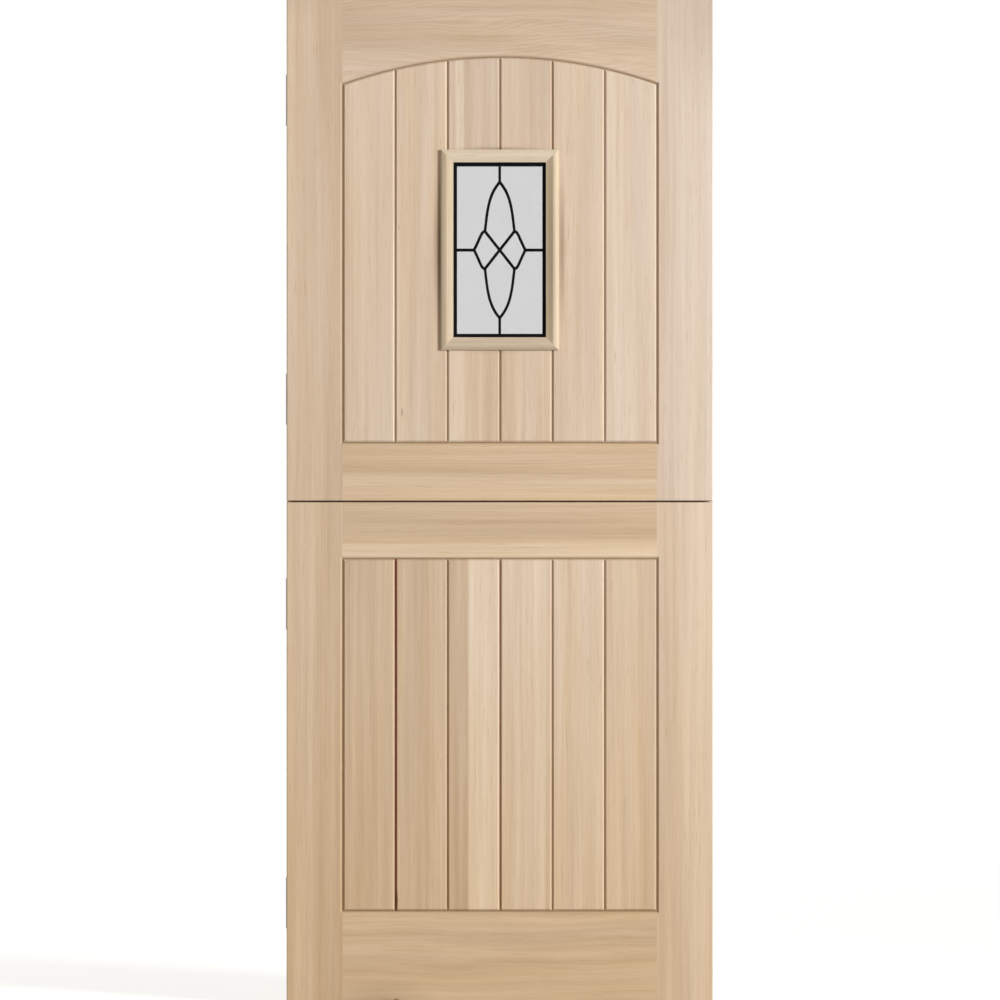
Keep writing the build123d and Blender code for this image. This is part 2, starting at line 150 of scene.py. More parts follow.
def make_timber_group():
    """Bare planed timber as a solid texture, with its grain along Z and its growth rings round X = Y = 0."""
    drifts_per_metre = (7, 7, 1.6)
    ring_width = 0.0026
    ring_sway = 9
    late_wood_share = 0.82
    black = (0, 0, 0)
    white = (1, 1, 1)
    streak_depth = 0.62
    band_depth = 0.5
    fibre_depth = 0.2
    paleness = 0.2
    pale_wood = (0.82, 0.685, 0.53)
    middling_wood = (0.64, 0.485, 0.345)
    dark_wood = (0.44, 0.3, 0.185)
    creamy_hue = (0.96, 1, 1.12)
    rosy_hue = (1.03, 0.97, 0.82)
    rosy_spread = 0.75
    pore_edges = (0.62, 0.76)
    pore_colour = (0.47, 0.3, 0.165)
    pore_strength = 0.45
    smoothest = 0.5
    fibre_roughness = 0.18
    ring_height = 0.35

    group = bpy.data.node_groups.new("Planed timber", "ShaderNodeTree")
    for name, kind, value in (
        ("Position", "NodeSocketVector", (0, 0, 0)),
        ("Wander", "NodeSocketFloat", 0.012),
        ("Ring Depth", "NodeSocketFloat", 0.1),
        ("Tone", "NodeSocketFloat", 0),
        ("Warmth", "NodeSocketFloat", 0),
        ("Tint", "NodeSocketColor", (1, 1, 1, 1)),
    ):
        group.interface.new_socket(name, in_out="INPUT", socket_type=kind).default_value = value
    for name, kind in (
        ("Color", "NodeSocketColor"),
        ("Roughness", "NodeSocketFloat"),
        ("Height", "NodeSocketFloat"),
    ):
        group.interface.new_socket(name, in_out="OUTPUT", socket_type=kind)
    given = add_node(group, "NodeGroupInput").outputs

    # The fibres wander a little from the piece's own line
    drift = noise(group, given["Position"], drifts_per_metre, detail=2)["Color"]
    centred = calculate_vector(group, "SUBTRACT", drift, (0.5, 0.5, 0.5))
    scaling = {0: centred, "Scale": given["Wander"]}
    sideways = add_node(group, "ShaderNodeVectorMath", scaling, operation="SCALE").outputs[0]
    fibre = calculate_vector(group, "ADD", given["Position"], sideways)

    def streaks(across, along, detail, roughness=0.55):
        """Noise drawn out along the grain, counted per metre across and along it."""
        return noise(group, fibre, (across, across, along), detail, roughness)["Fac"]

    bands = streaks(across=17, along=0.5, detail=2)
    streak = streaks(across=95, along=1.6, detail=4, roughness=0.62)
    rosiness = streaks(across=30, along=1.4, detail=2)
    fibres = streaks(across=1150, along=22, detail=2)
    pores = ease(group, streaks(across=620, along=19, detail=1), *pore_edges)

    # Growth rings: each darkens slowly and ends in a thin line of late wood
    x, y, _ = add_node(group, "ShaderNodeSeparateXYZ", {0: fibre}).outputs
    radius = calculate(group, "MULTIPLY_ADD", x, x, calculate(group, "MULTIPLY", y, y))
    radius = calculate(group, "SQRT", radius)
    count = calculate(group, "DIVIDE", radius, ring_width)
    count = calculate(group, "MULTIPLY_ADD", bands, ring_sway, count)
    growth = calculate(group, "FRACT", count)
    ring_stops = ((0, black), (late_wood_share, white), (1, black))
    ring = shades(group, growth, *ring_stops, interpolation="EASE")

    shade = given["Tone"]
    for pattern, depth in (
        (streak, streak_depth),
        (bands, band_depth),
        (fibres, fibre_depth),
        (ring, given["Ring Depth"]),
    ):
        shade = calculate(group, "MULTIPLY_ADD", pattern, depth, shade)
    shade = calculate(group, "SUBTRACT", shade, paleness)
    colour = shades(group, shade, (0, pale_wood), (0.5, middling_wood), (1, dark_wood))

    # Some of the wood is creamy and some of it is rosy
    rosy = calculate(group, "ADD", given["Warmth"], 0.5 - rosy_spread / 2)
    rosy = calculate(group, "MULTIPLY_ADD", rosiness, rosy_spread, rosy, clamp=True)
    hue = blend(group, rosy, creamy_hue, rosy_hue)
    colour = blend(group, 1, colour, hue, "MULTIPLY")
    colour = blend(group, 1, colour, given["Tint"], "MULTIPLY")
    colour = blend(group, calculate(group, "MULTIPLY", pores, pore_strength), colour, pore_colour)

    roughness = calculate(group, "MULTIPLY_ADD", fibres, fibre_roughness, smoothest)
    height = calculate(group, "MULTIPLY_ADD", ring, ring_height, fibres)
    height = calculate(group, "SUBTRACT", height, pores)
    add_node(group, "NodeGroupOutput", {"Color": colour, "Roughness": roughness, "Height": height})
    return group


timber_group = make_timber_group()
outer_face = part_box("upper_closing_stile")[0].y


def timber(name, along, heart, tone, warmth, *, pale=(), marks=(), stain=(), grime=0.5, mellow=0, **grain):
    """Planed timber with its grain along Z or X, sawn so that the tree's heart lies at the given place.

    Pale strips, of sapwood and of painted light, are (from, to, amount, fade), measured across the grain.
    Stained joints are (from X, to X, amount), reddish and partly painted shade on a joint's shaded flank.
    Knots, resin, painted shadow and shade, and other dark spots are (X, Z, half width, half height, amount).
    One weight sets how far painted shade darkens the bottom of the V joints, and another how far painted
    shade darkens and warms the wood towards the door's foot.
    """
    foot_shade_height = 0.9
    foot_shade_darkening = 0.4
    groove_shade_starts = 0.0016
    groove_shade_thickens = 0.0036
    vee_depth = 0.005
    vee_fade = 0.001
    groove_shade_colour = (0.22, 0.13, 0.05)
    stain_and_shade_fade = 0.002
    stain_and_shade_colour = (0.22, 0.045, 0.018)
    mark_and_shade_colour = (0.12, 0.06, 0.02)
    sheen = 0.1
    grain_strength = 0.3
    grain_depth = 0.0002

    material, tree, place = start_finish(name)
    turn = pi / 2 if along == "X" else 0
    inputs = {"Vector": place, "Location": heart, "Rotation": (0, turn, 0)}
    from_heart = add_node(tree, "ShaderNodeMapping", inputs, vector_type="TEXTURE").outputs[0]
    x, y, z = add_node(tree, "ShaderNodeSeparateXYZ", {0: place}).outputs
    across = z if along == "X" else x

    def strip(value, start, end, fade):
        """1 between two places, with a soft edge at each."""
        rise = ease(tree, value, start - fade / 2, start + fade / 2)
        fall = ease(tree, value, end + fade / 2, end - fade / 2)
        return calculate(tree, "MULTIPLY", rise, fall)

    shade = tone
    for start, end, amount, fade in pale:
        shade = calculate(tree, "MULTIPLY_ADD", strip(across, start, end, fade), -amount, shade)
    # Painted shade: the wood grows darker and warmer towards the door's foot
    if mellow:
        low = ease(tree, z, foot_shade_height, 0)
        shade = calculate(tree, "MULTIPLY_ADD", low, foot_shade_darkening * mellow, shade)
        warmth = calculate(tree, "MULTIPLY_ADD", low, mellow, warmth)
    inputs = {"Position": from_heart, "Tone": shade, "Warmth": warmth, **grain}
    wood = add_node(tree, "ShaderNodeGroup", inputs, node_tree=timber_group).outputs

    # Painted shade darkens the bottom of the V joints, a few millimetres behind the outer face
    below_face = ease(tree, y, outer_face + groove_shade_starts, outer_face + groove_shade_thickens)
    in_joint = ease(tree, y, outer_face + vee_depth + vee_fade, outer_face + vee_depth)
    groove_shaded = calculate(tree, "MULTIPLY", below_face, in_joint)
    colour = blend(tree, calculate(tree, "MULTIPLY", groove_shaded, grime), wood["Color"], groove_shade_colour)

    on_front = ease(tree, y, 0, outer_face / 2)

    def tinged(colour, where, amount, tint):
        """A colour with a tint over part of the outer face."""
        share = calculate(tree, "MULTIPLY", calculate(tree, "MULTIPLY", where, on_front), amount)
        return blend(tree, share, colour, tint)

    # Reddish stains in joints, partly painted shade, and dark spots, some of them painted shadow and shade
    for start, end, amount in stain:
        colour = tinged(colour, strip(x, start, end, stain_and_shade_fade), amount, stain_and_shade_colour)
    for mark_x, mark_z, half_width, half_height, amount in marks:
        offset = calculate_vector(tree, "SUBTRACT", place, (mark_x, 0, mark_z))
        reach = calculate_vector(tree, "MULTIPLY", offset, (1 / half_width, 0, 1 / half_height))
        colour = tinged(colour, ease(tree, length_of(tree, reach), 1, 0), amount, mark_and_shade_colour)

    surface = {
        "Base Color": colour,
        "Roughness": wood["Roughness"],
        "Specular IOR Level": sheen,
        "Normal": relief(tree, wood["Height"], grain_strength, grain_depth),
    }
    set_surface(tree, surface)
    return material


# The lower leaf has painted shade, darker and warmer towards the ground, and the upper stiles are darker at
# the top corners
painted_foot_shade = 0.3
top_corners = ((0.42, 1.99, 0.14, 0.3, 0.22), (-0.42, 1.99, 0.1, 0.08, 0.12))
lower_foot_shade = {"mellow": painted_foot_shade}
upper_corner_darkening = {"marks": top_corners}

for stile, heart, tone, warmth, sapwood, darkening in (
    ("lower_hinge_stile", (-0.75, 0.16, 3.1), 0.16, -0.08, (-0.44, -0.367, 0.16, 0.05), lower_foot_shade),
    ("lower_closing_stile", (0.95, 0.21, 5.3), -0.07, -0.2, (0.367, 0.44, 0.06, 0.04), lower_foot_shade),
    ("upper_hinge_stile", (-0.8, 0.13, 7.7), 0.16, -0.14, (-0.44, -0.367, 0.18, 0.05), upper_corner_darkening),
    ("upper_closing_stile", (0.9, 0.24, 9.2), 0.01, -0.45, (0.367, 0.44, 0.2, 0.05), upper_corner_darkening),
):
    dress(timber(stile, "Z", heart, tone, warmth, pale=(sapwood,), **darkening), stile)

# A knot in the bottom rail, with darker wood on one side of it
bottom_knot = (
    (-0.203, 0.009, 0.009, 0.007, 0.9),
    (-0.222, 0.006, 0.024, 0.01, 0.4),
    (-0.24, 0, 0.14, 0.07, 0.24),
)
rail_figure = {
    "lower_bottom_rail": {"mellow": painted_foot_shade, "marks": bottom_knot, "Wander": 0.05, "Ring Depth": 0.06},
    "lower_meeting_rail": {"pale": ((0.86, 0.92, 0.12, 0.02), (0.86, 0.907, 0.26, 0.012))},
    "upper_meeting_rail": {},
    "upper_arched_rail": {"pale": ((1.79, 1.87, 0.13, 0.03),), "Wander": 0.07},
}

for rail, heart, tone, warmth in (
    ("lower_bottom_rail", (1.7, 0.19, 0.42), 0.03, -0.03),
    ("lower_meeting_rail", (3.6, -0.28, 1.12), 0.19, 0.03),
    ("upper_meeting_rail", (5.1, 0.3, 0.83), 0.13, 0.11),
    ("upper_arched_rail", (7.9, 0.11, 1.82), 0.12, -0.2),
):
    dress(timber(rail, "X", heart, tone, warmth, **rail_figure[rail]), rail)

# Boards: tongued, grooved and V-jointed, each run from its own plank, so they differ in tone and some keep a
# pale strip of sapwood. They stand dry in the groove of the frame, free to move. The leaded light takes the
# middle of the third and fourth upper boards, whose lengths above and below it are cut from one plank.

sapwood_fade = 0.006
pale_strips = {
    "lower_board_3": ((-0.062, 0.02, 0.36, sapwood_fade),),
    "lower_board_4": ((0.068, 0.09, 0.14, sapwood_fade),),
    "upper_board_3_above": ((-0.087, -0.071, 0.32, sapwood_fade),),
    "upper_board_3_below": ((-0.12, -0.07, 0.18, sapwood_fade),),
    "upper_board_4_above": ((-0.02, 0.058, 0.14, sapwood_fade),),
}
# Reddish stains on two joint flanks that face away from the key lamp, partly painted shade
stained_and_shaded_joints = {
    "lower_board_2": ((-0.21, -0.2012, 0.8),),
    "lower_board_4": ((-0.004, 0.0045, 0.5),),
}

# Painted shadow and shade on the boards against the moulding round the light: a cast shadow to its left and
# darker lines along its other sides
light_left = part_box("window_moulding_left")[0].x
light_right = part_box("window_moulding_right")[1].x
light_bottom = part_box("window_moulding_bottom")[0].z
light_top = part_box("window_moulding_top")[1].z
light_middle = (light_top + light_bottom) / 2
light_height = light_top - light_bottom
moulding_shade_width = 0.009
moulding_shade_half_height = 0.55 * light_height
shade_above_light = (0, light_top, light_right, moulding_shade_width, 0.4)
shade_below_light = (0, light_bottom, light_right, moulding_shade_width, 0.1)
shadow_left_of_light = (light_left, light_middle, 2.2 * moulding_shade_width, moulding_shade_half_height, 0.65)
shade_right_of_light = (light_right + 0.006, light_middle, 1.1 * moulding_shade_width, moulding_shade_half_height, 0.45)

# The second upper board has two short streaks of resin, and a stained joint ends in a patch of painted shade
# above the bottom rail
long_streak = (-0.192, 1.166, 0.0025, 0.013, 0.6)
short_streak = (-0.198, 1.53, 0.002, 0.008, 0.35)
shaded_joint_foot = (-0.2035, 0.205, 0.006, 0.03, 1)

board_marks_and_shade = {
    "lower_board_2": (shaded_joint_foot,),
    "upper_board_2": (shadow_left_of_light, long_streak, short_streak),
    "upper_board_3_above": (shade_above_light,),
    "upper_board_3_below": (shade_below_light,),
    "upper_board_4_above": (shade_above_light,),
    "upper_board_4_below": (shade_below_light,),
    "upper_board_5": (shade_right_of_light,),
}

for board, heart, tone, warmth in (
    ("lower_board_1", (-1.1, 0.3, 2.4), 0.08, -0.13),
    ("lower_board_2", (-0.9, 0.26, 4.9), 0.14, -0.12),
    ("lower_board_3", (0.6, 0.31, 6.2), 0.17, -0.14),
    ("lower_board_4", (0.75, 0.2, 8.8), -0.08, -0.17),
    ("lower_board_5", (0.88, 0.22, 11.4), -0.07, -0.13),
    ("lower_board_6", (1.05, 0.27, 13.1), -0.03, -0.11),
    ("upper_board_1", (-0.94, 0.2, 15.7), -0.04, -0.21),
    ("upper_board_2", (-0.7, 0.18, 17.9), -0.01, -0.16),
    ("upper_board_3_above", (-0.6, 0.22, 20.3), 0.06, -0.36),
    ("upper_board_3_below", (-0.6, 0.22, 20.3), 0.03, -0.24),
    ("upper_board_4_above", (0.64, 0.17, 22.6), 0.07, -0.28),
    ("upper_board_4_below", (0.64, 0.17, 22.6), -0.05, -0.16),
    ("upper_board_5", (0.8, 0.19, 24.4), -0.05, -0.28),
    ("upper_board_6", (0.97, 0.25, 27.1), -0.12, -0.35),
):
    figure = {
        "pale": pale_strips.get(board, ()),
        "stain": stained_and_shaded_joints.get(board, ()),
        "marks": board_marks_and_shade.get(board, ()),
        "mellow": painted_foot_shade if board.startswith("lower") else 0,
    }
    dress(timber(board, "Z", heart, tone, warmth, **figure), board)

# Sealed glass unit: two panes of float glass on an aluminium spacer bar, with a black butyl seal round the
# edge. It stands on two plastic packers and is bedded between two strips of black foam tape.

film_per_metre = (24, 24, 24)
ripples_per_metre = (9, 9, 9)
hazy_glass = (0.786, 0.783, 0.787)
clear_glass = (0.814, 0.811, 0.814)
glass_roughness = 0.005
film_roughness = 0.03
glass, tree, place = start_finish("Float glass")
film = noise(tree, place, film_per_metre, detail=3)["Fac"]
ripples = noise(tree, place, ripples_per_metre, detail=0)["Fac"]
surface = {
    "Base Color": blend(tree, film, hazy_glass, clear_glass),
    "Roughness": calculate(tree, "MULTIPLY_ADD", film, film_roughness, glass_roughness),
    "Transmission Weight": 1,
    "IOR": 1.5,
    "Normal": relief(tree, ripples, strength=0.1, depth=0.001),
}
set_surface(tree, surface)
dress(glass, "window_outer_pane", "window_inner_pane")


def mottled(
    name, colour, deep_colour, roughness, *, metallic=0, grain=(200, 200, 200), strength=0.2, gloss=0.5
):
    """A plain finish whose colour, gloss and surface vary in a fine grain, counted per metre."""
    deepest = 0.3
    lightest = 0.7
    spread = 0.25 * roughness
    grain_depth = 0.0003
    material, tree, place = start_finish(name)
    speckle = noise(tree, place, grain, detail=3)["Fac"]
    surface = {
        "Base Color": shades(tree, speckle, (deepest, deep_colour), (lightest, colour)),
        "Roughness": calculate(tree, "MULTIPLY_ADD", speckle, spread, roughness - spread / 2),
        "Metallic": metallic,
        "Specular IOR Level": gloss,
        "Normal": relief(tree, speckle, strength, grain_depth),
    }
    set_surface(tree, surface)
    return material


rubber = mottled(
    "Black rubber",
    colour=(0.03, 0.03, 0.032),
    deep_colour=(0.018, 0.018, 0.02),
    roughness=0.65,
    grain=(900, 900, 900),
)
dress(rubber, "window_edge_seal", "window_outer_tape", "window_inner_tape")

aluminium = mottled(
    "Mill aluminium",
    colour=(0.72, 0.73, 0.74),
    deep_colour=(0.6, 0.61, 0.62),
    roughness=0.38,
    metallic=1,
    grain=(1800, 1800, 90),
)
dress(aluminium, "window_spacer_bar")

plastic = mottled("Grey plastic", colour=(0.3, 0.31, 0.33), deep_colour=(0.25, 0.26, 0.28), roughness=0.45)
dress(plastic, "window_packers")

# Lead came: half-round strips of blackened lead, stuck on both faces of the glass. They draw two petals and
# two diamonds on a cross inside a wider border, and every joint is run over with a drop of solder.

sight_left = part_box("window_moulding_left")[1].x
sight_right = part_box("window_moulding_right")[0].x
sight_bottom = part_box("window_moulding_bottom")[1].z
sight_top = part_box("window_moulding_top")[0].z
sight_middle = (sight_top + sight_bottom) / 2
half_width = (sight_right - sight_left) / 2
half_height = (sight_top - sight_bottom) / 2
outer_came_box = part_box("window_outer_came")
inner_came_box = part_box("window_inner_came")
border_cover = outer_came_box[1].x - sight_right
border_shown = 0.007
strip_width = 0.0053
solder_width_share = 1.2
apex_share = 0.777
shoulder_shares = (0.318, 0.214)
side_corner_share = 0.556
petal_bend_shares = ((0.238, 0.635), (0.266, 0.463))
diamond_bend_shares = ((0.404, 0.212), (0.428, 0.123))
section_points = 13
bend_points = 24
strip_points = 25
drop_segments = 16
drop_rings = 8
joint_reach = 0.0001


def on_light(across, up):
    """A place on the leaded light, from shares of its half width and half height."""
    return (across * half_width, up * half_height, 0)


came_sizes = {
    "Apex": on_light(0, apex_share),
    "Apex Bend": on_light(*petal_bend_shares[0]),
    "Petal Bend": on_light(*petal_bend_shares[1]),
    "Shoulder": on_light(*shoulder_shares),
    "Shoulder Bend": on_light(*diamond_bend_shares[0]),
    "Diamond Bend": on_light(*diamond_bend_shares[1]),
    "Side Corner": on_light(side_corner_share, 0),
    "Head": on_light(0, 1),
    "Side": on_light(1, 0),
    "Strip Width": strip_width,
    "Strip Height": outer_came_box[1].y - outer_came_box[0].y,
    "Border Width": border_shown + border_cover,
    "Border Length": 2 * half_width + border_cover - border_shown,
    "Border Height": 2 * half_height + border_cover - border_shown,
    "Solder Width": solder_width_share * strip_width,
    "Outer Place": (0, outer_came_box[1].y, sight_middle),
    "Inner Place": (0, inner_came_box[0].y, sight_middle),
}


def start_tree(name, sizes):
    """A geometry tree with a named input for each size and one for its finish, and those inputs."""
    tree = bpy.data.node_groups.new(name, "GeometryNodeTree")
    for size, value in sizes.items():
        kind = "NodeSocketInt" if isinstance(value, int) else "NodeSocketFloat"
        kind = "NodeSocketVector" if isinstance(value, tuple) else kind
        tree.interface.new_socket(size, in_out="INPUT", socket_type=kind)
    tree.interface.new_socket("Finish", in_out="INPUT", socket_type="NodeSocketMaterial")
    tree.interface.new_socket("Geometry", in_out="OUTPUT", socket_type="NodeSocketGeometry")
    return tree, add_node(tree, "NodeGroupInput").outputs


def end_tree(tree, inputs, geometry):
    """Turn the instances into a mesh and give it its finish."""
    real = add_node(tree, "GeometryNodeRealizeInstances", {"Geometry": geometry}).outputs[0]
    dressed = add_node(tree, "GeometryNodeSetMaterial", {"Geometry": real, "Material": inputs["Finish"]})
    add_node(tree, "NodeGroupOutput", {"Geometry": dressed.outputs[0]})


def join(tree, *pieces):
    """Several geometries as one."""
    joined = add_node(tree, "GeometryNodeJoinGeometry")
    for piece in pieces:
        tree.links.new(piece, joined.inputs[0])
    return joined.outputs[0]


def moved(tree, geometry, **places):
    """A geometry with a translation, rotation or scale."""
    inputs = {"Geometry": geometry, **{place.title(): value for place, value in places.items()}}
    return add_node(tree, "GeometryNodeTransform", inputs).outputs[0]


def vector(tree, **parts):
    """A vector from its X, Y and Z, with those left out at zero."""
    return add_node(tree, "ShaderNodeCombineXYZ", parts).outputs[0]


def grow(name, tree, sizes, material):
    """Run a tree with its sizes and return the plain mesh that it makes, as an object at the origin."""
    weld_distance = 0.000002
    sharp_angle = radians(40)
    grown = bpy.data.objects.new(name, bpy.data.meshes.new(name))
    bpy.context.scene.collection.objects.link(grown)
    modifier = grown.modifiers.new(name, "NODES")
    modifier.node_group = tree
    for item in tree.interface.items_tree:
        if item.in_out == "INPUT":
            modifier[item.identifier] = material if item.name == "Finish" else sizes[item.name]
    evaluated = grown.evaluated_get(bpy.context.evaluated_depsgraph_get())
    plain = bpy.data.meshes.new_from_object(evaluated)
    plain.name = name
    grown.modifiers.remove(modifier)
    grown.data = plain
    cleaned = bmesh.new()
    cleaned.from_mesh(plain)
    bmesh.ops.remove_doubles(cleaned, verts=cleaned.verts, dist=weld_distance)
    bmesh.ops.recalc_face_normals(cleaned, faces=cleaned.faces)
    cleaned.to_mesh(plain)
    cleaned.free()
    plain.shade_smooth()
    plain.set_sharp_from_angle(angle=sharp_angle)
    return grown


came_tree, came_size = start_tree("Lead came", came_sizes)
twice_height = calculate(came_tree, "MULTIPLY", came_size["Strip Height"], 2)


def half_round(width):
    """A closed half-round section, flat on the glass."""
    arc = {
        "Resolution": section_points,
        "Radius": 0.5,
        "Start Angle": pi,
        "Sweep Angle": pi,
        "Connect Center": True,
    }
    section = add_node(came_tree, "GeometryNodeCurveArc", arc, mode="RADIUS").outputs["Curve"]
    return moved(came_tree, section, scale=vector(came_tree, X=width, Y=twice_height, Z=1))


def straight(start, end):
    """A straight strip's line."""
    return add_node(came_tree, "GeometryNodeCurvePrimitiveLine", {"Start": start, "End": end}).outputs[0]


def bent(start, start_bend, end_bend, end):
    """A bent strip's line."""
    ends = {"Start": start, "Start Handle": start_bend, "End Handle": end_bend, "End": end}
    inputs = {"Resolution": bend_points, **ends}
    return add_node(came_tree, "GeometryNodeCurvePrimitiveBezierSegment", inputs, mode="POSITION").outputs[0]


def swept(line, width, capped):
    """A half-round strip along a line, with its flat side on the glass."""
    level = add_node(came_tree, "GeometryNodeSetCurveNormal", {"Curve": line}, mode="Z_UP").outputs[0]
    inputs = {"Curve": level, "Profile Curve": half_round(width), "Fill Caps": capped}
    return add_node(came_tree, "GeometryNodeCurveToMesh", inputs).outputs[0]


# One quarter of the pattern, mirrored across and up
quarter = join(
    came_tree,
    straight((0, 0, 0), came_size["Shoulder"]),
    bent(came_size["Apex"], came_size["Apex Bend"], came_size["Petal Bend"], came_size["Shoulder"]),
    bent(
        came_size["Shoulder"],
        came_size["Shoulder Bend"],
        came_size["Diamond Bend"],
        came_size["Side Corner"],
    ),
)
quarters = [moved(came_tree, quarter, scale=(across, up, 1)) for across in (-1, 1) for up in (-1, 1)]
bars = join(
    came_tree,
    straight(came_size["Apex"], came_size["Head"]),
    straight(came_size["Side Corner"], came_size["Side"]),
)
lines = join(came_tree, *quarters, bars, moved(came_tree, bars, scale=(-1, -1, 1)))
lines = add_node(came_tree, "GeometryNodeResampleCurve", {"Curve": lines, "Count": strip_points}).outputs[0]
strips = swept(lines, came_size["Strip Width"], capped=True)

# The border's corners are mitred, so its section is wider by root two
border_size = {"Width": came_size["Border Length"], "Height": came_size["Border Height"]}
border_line = add_node(came_tree, "GeometryNodeCurvePrimitiveQuadrilateral", border_size).outputs[0]
mitre_width = calculate(came_tree, "MULTIPLY", came_size["Border Width"], sqrt(2))
border = swept(border_line, mitre_width, capped=False)

# One flat-bottomed drop of solder on each joint
ends = add_node(came_tree, "GeometryNodeCurveEndpointSelection", {"Start Size": 1, "End Size": 1}).outputs[0]
chosen = {"Geometry": lines, "Selection": ends}
strip_ends = add_node(came_tree, "GeometryNodeSeparateGeometry", chosen, domain="POINT").outputs[0]
points = add_node(came_tree, "GeometryNodeCurveToPoints", {"Curve": strip_ends}, mode="EVALUATED").outputs[0]
met = {"Geometry": points, "Distance": joint_reach}
joints = add_node(came_tree, "GeometryNodeMergeByDistance", met).outputs[0]
ball = {"Segments": drop_segments, "Rings": drop_rings, "Radius": 0.5}
drop = add_node(came_tree, "GeometryNodeMeshUVSphere", ball).outputs["Mesh"]
position = add_node(came_tree, "GeometryNodeInputPosition").outputs[0]
x, y, z = add_node(came_tree, "ShaderNodeSeparateXYZ", {0: position}).outputs
flat = vector(came_tree, X=x, Y=y, Z=calculate(came_tree, "MAXIMUM", z, 0))
drop = add_node(came_tree, "GeometryNodeSetPosition", {"Geometry": drop, "Position": flat}).outputs[0]
drop_size = vector(came_tree, X=came_size["Solder Width"], Y=came_size["Solder Width"], Z=twice_height)
placed = {"Points": joints, "Instance": drop, "Scale": drop_size}
drops = add_node(came_tree, "GeometryNodeInstanceOnPoints", placed).outputs[0]

one_face = join(came_tree, strips, border, drops)
outer = moved(came_tree, one_face, translation=came_size["Outer Place"], rotation=(pi / 2, 0, 0))
inner = moved(came_tree, one_face, translation=came_size["Inner Place"], rotation=(-pi / 2, 0, 0))
end_tree(came_tree, came_size, join(came_tree, outer, inner))

lead = mottled(
    "Blackened lead",
    colour=(0.008, 0.008, 0.009),
    deep_colour=(0.004, 0.004, 0.005),
    roughness=0.55,
    grain=(500, 500, 500),
    gloss=0.02,
)
came = grow("lead_came", came_tree, came_sizes, lead)
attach(came, "upper_leaf")
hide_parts("window_outer_came", "window_inner_came")

# Mouldings and beads: mitred lengths of creamy timber, run with an ovolo towards the boards and a long bevel
# towards the glass. The mouldings are planted on the boards outside, and the beads inside hold the glass in.

moulding_tint = (0.99, 1.035, 1)
moulding_wander = 0.006
heart_across = 0.31
heart_along = 0.27
heart_depths = {"moulding": -0.4, "bead": 0.4}

# The left moulding has painted light along its outer edge, which is in shade, and the right one has painted
# shade along its bevel, which faces away from the key lamp
painted_light_edge = (light_left - 0.002, light_left + 0.006, 0.4, 0.004)
painted_shade_bevel = (light_right - 0.0145, light_middle, 0.012, 0.75 * light_height, 0.35)

# The top moulding has a paler tone, which is painted light, and the bottom one a darker tone, which is
# painted shade
for place, along, tone, warmth, figure in (
    ("top", "X", -0.1, -0.3, {}),
    ("bottom", "X", 0.24, -0.45, {}),
    ("left", "Z", 0.12, -0.25, {"pale": (painted_light_edge,)}),
    ("right", "Z", 0.04, -0.25, {"marks": (painted_shade_bevel,)}),
):
    for kind, depth in heart_depths.items():
        piece = f"window_{kind}_{place}"
        low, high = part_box(piece)
        heart = ((low.x + high.x) / 2 + heart_across, depth, (low.z + high.z) / 2 + heart_along)
        grain = {"grime": 0, "Wander": moulding_wander, "Tint": moulding_tint}
        dress(timber(piece, along, heart, tone, warmth, **figure, **grain), piece)

# Meeting seal: a black rubber draught strip of D section, stuck in the lower leaf's rebate along the split
# between the leaves. The upper leaf closes against it.

dress(rubber, "lower_meeting_seal")

# Butt hinges: pressed satin steel, two to a leaf, with the flaps let into the door's edge and a loose pin
# through the knuckles. The flaps are brushed along their length.

steel = mottled(
    "Brushed steel",
    colour=(0.5, 0.5, 0.51),
    deep_colour=(0.33, 0.33, 0.34),
    roughness=0.36,
    metallic=1,
    grain=(2600, 2600, 60),
    strength=0.12,
)
for leaf in ("lower_leaf", "upper_leaf"):
    for level in ("bottom", "top"):
        hinge = f"{leaf}_{level}_hinge"
        dress(steel, f"{hinge}_frame_flap", f"{hinge}_door_flap", f"{hinge}_pin")

# Hinge screws: zinc-plated countersunk wood screws with a cross recess, four in a zigzag through each door
# flap, driven into the hinge stile until the heads lie flush.

head_radius = 0.0037
shank_radius = 0.002
point_length = 0.006
tip_radius = 0.0001
screw_sides = 24
screw_pitch = 0.026
screws_in_flap = 4
recess_length_share = 1.15
recess_width_share = 0.24
recess_depth_share = 1.2


def screw_sizes(leaf):
    """Where a leaf's screws stand, from its two door flaps and its group of screws."""
    low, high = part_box(f"{leaf}_hinge_screws")
    levels = []
    for level in ("bottom", "top"):
        flap_low, flap_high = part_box(f"{leaf}_leaf_{level}_hinge_door_flap")
        levels.append((flap_low.z + flap_high.z) / 2)
    outer_row = low.y + head_radius
    inner_row = high.y - head_radius
    half_run = (screws_in_flap - 1) / 2 * screw_pitch
    return {
        "Screw Count": screws_in_flap,
        "Lower Row": (low.x, outer_row, levels[0] + half_run),
        "Upper Row": (low.x, outer_row, levels[1] + half_run),
        "Pitch": (0, 0, -screw_pitch),
        "Zigzag": inner_row - outer_row,
        "Length": high.x - low.x,
        "Point Length": point_length,
        "Head Radius": head_radius,
        "Shank Radius": shank_radius,
    }


screw_tree, screw_size = start_tree("Countersunk screws", screw_sizes("lower"))


def round_piece(bottom_radius, top_radius, height, start):
    """A turned length from one radius to another."""
    radii = {"Radius Bottom": bottom_radius, "Radius Top": top_radius}
    inputs = {"Vertices": screw_sides, "Depth": height, **radii}
    turned = add_node(screw_tree, "GeometryNodeMeshCone", inputs, fill_type="NGON").outputs["Mesh"]
    return moved(screw_tree, turned, translation=vector(screw_tree, Z=start))


